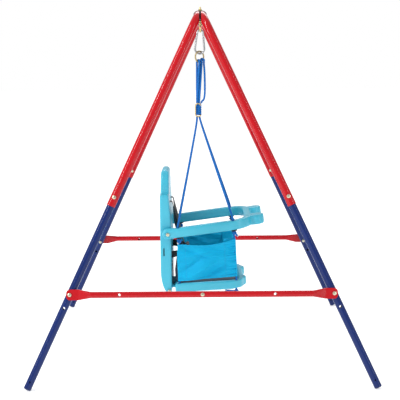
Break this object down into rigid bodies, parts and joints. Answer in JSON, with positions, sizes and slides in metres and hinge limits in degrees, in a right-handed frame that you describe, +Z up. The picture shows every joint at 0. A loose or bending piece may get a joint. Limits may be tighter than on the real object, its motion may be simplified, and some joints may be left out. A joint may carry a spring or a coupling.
{
  "type": "swing set",
  "caption": "Toddler swing set: two bent tube frames leaning together, joined by crossbars, with a moulded bucket seat hung on ropes from a snap hook.",
  "frame": {"origin": "on the floor under the eye bolt, midway between the four feet", "axes": "+Z up; +X the way the seat faces; +Y to the sitter's left, along the top bars"},
  "size_m": [1.1402, 0.9818, 1.2229],
  "materials": {
    "red_paint": "glossy powder coat",
    "blue_paint": "glossy powder coat",
    "foot_plastic": "moulded, matte",
    "black_plastic": "moulded, matte",
    "zinc": "bright zinc plating",
    "gold_zinc": "yellow zinc plating",
    "hook_steel": "zinc-plated rod",
    "ring_bronze": "yellow zinc plating, dulled",
    "rope": "braided synthetic rope",
    "seat_plastic": "satin blow-moulded plastic",
    "seat_fabric": "woven nylon",
    "pad_fabric": "woven cover over foam",
    "webbing": "woven webbing"
  },
  "bodies": {
    "frame": {"rear_upper_tube": "red_paint", "front_upper_tube": "red_paint", "rear_right_leg": "blue_paint", "rear_left_leg": "blue_paint", "front_right_leg": "blue_paint", "front_left_leg": "blue_paint", "foot_plugs": "foot_plastic", "right_crossbar_socket": "red_paint", "right_crossbar_spigot": "red_paint", "left_crossbar_socket": "red_paint", "left_crossbar_spigot": "red_paint", "right_upper_saddle": "black_plastic", "middle_upper_saddle": "black_plastic", "left_upper_saddle": "black_plastic", "right_lower_saddle": "black_plastic", "middle_lower_saddle": "black_plastic", "left_lower_saddle": "black_plastic", "bar_spacers": "black_plastic", "leg_bolts": "zinc", "leg_nuts": "zinc", "crossbar_end_bolts": "zinc", "crossbar_end_nuts": "zinc", "crossbar_middle_bolts": "zinc", "crossbar_middle_nuts": "zinc", "saddle_bolts": "gold_zinc", "saddle_nuts": "gold_zinc", "eye_bolt": "gold_zinc", "eye_bolt_washer": "gold_zinc", "eye_bolt_nut": "gold_zinc"},
    "hook": {"snap_hook": "hook_steel", "gate_pin": "zinc"},
    "gate": {"snap_hook_gate": "hook_steel"},
    "seat": {"rope_ring": "ring_bronze", "hanger_loops": "rope", "slack_loop": "rope", "rope_whipping": "rope", "height_adjuster": "gold_zinc", "front_left_rope": "rope", "front_right_rope": "rope", "rear_left_rope": "rope", "rear_right_rope": "rope", "rope_washers": "black_plastic", "seat_back": "seat_plastic", "lap_ring_bolts": "zinc", "seat_base": "seat_plastic", "base_bolt": "zinc", "base_nut": "zinc", "right_fabric_panel": "seat_fabric", "left_fabric_panel": "seat_fabric", "seat_pad": "pad_fabric", "shoulder_straps": "webbing", "waist_straps": "webbing", "crotch_strap": "webbing", "harness_buckle": "black_plastic"},
    "lap_ring": {"lap_ring": "seat_plastic"}
  },
  "joints": [
    {"name": "seat_swing", "type": "hinge", "parent": "frame", "child": "hook", "pos_m": [0, 0, 1.13715], "axis": [0, 1, 0], "range_deg": [-60, 60]},
    {"name": "side_swing", "type": "hinge", "parent": "hook", "child": "seat", "pos_m": [-0.0033, 0, 1.06151], "axis": [1, 0, 0], "range_deg": [-8, 8]},
    {"name": "gate_open", "type": "hinge", "parent": "hook", "child": "gate", "pos_m": [0.0107, 0, 1.12222], "axis": [0, 1, 0], "range_deg": [0, 20], "stiffness_Nm_per_rad": 0.2, "springref_deg": -11.46},
    {"name": "lap_ring_tilt", "type": "hinge", "parent": "seat", "child": "lap_ring", "pos_m": [-0.118, 0, 0.44], "axis": [0, -1, 0], "range_deg": [0, 2]}
  ]
}
